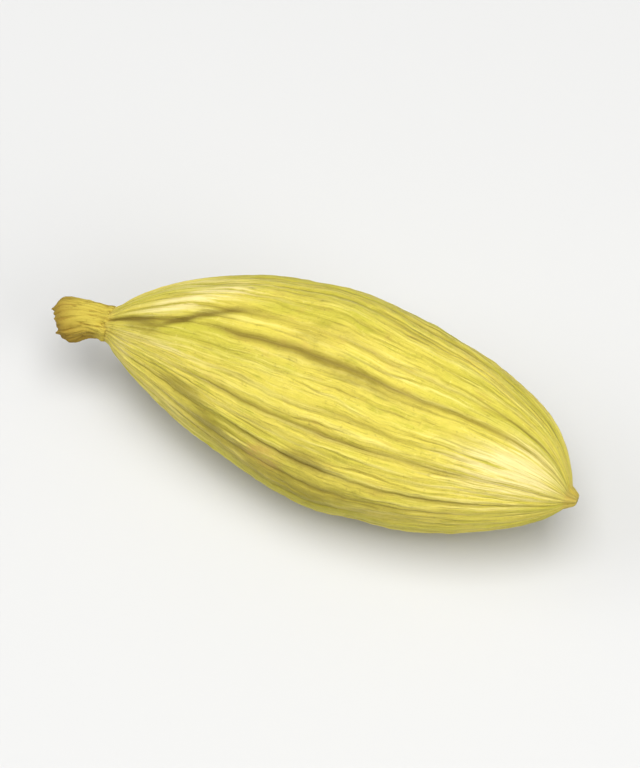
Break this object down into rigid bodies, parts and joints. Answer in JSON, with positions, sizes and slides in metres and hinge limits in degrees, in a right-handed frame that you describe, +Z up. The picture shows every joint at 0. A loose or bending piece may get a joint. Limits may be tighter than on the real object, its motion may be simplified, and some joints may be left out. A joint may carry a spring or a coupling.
{
  "type": "green cardamom pod",
  "caption": "Dried green cardamom pod: a spindle-shaped, three-cornered husk with lengthwise ribs, a short stalk stub and a small beak at the tip, lying on its side.",
  "frame": {"origin": "on the resting surface, under the middle of the pod's outside box", "axes": "+X from the stalk to the tip, +Z up from the resting surface, +Y completes the right-handed frame"},
  "size_m": [0.0208, 0.0081, 0.0079],
  "materials": {
    "husk": "satin",
    "stalk": "matte"
  },
  "bodies": {
    "root": {"husk": "husk", "stalk": "stalk"}
  },
  "joints": []
}
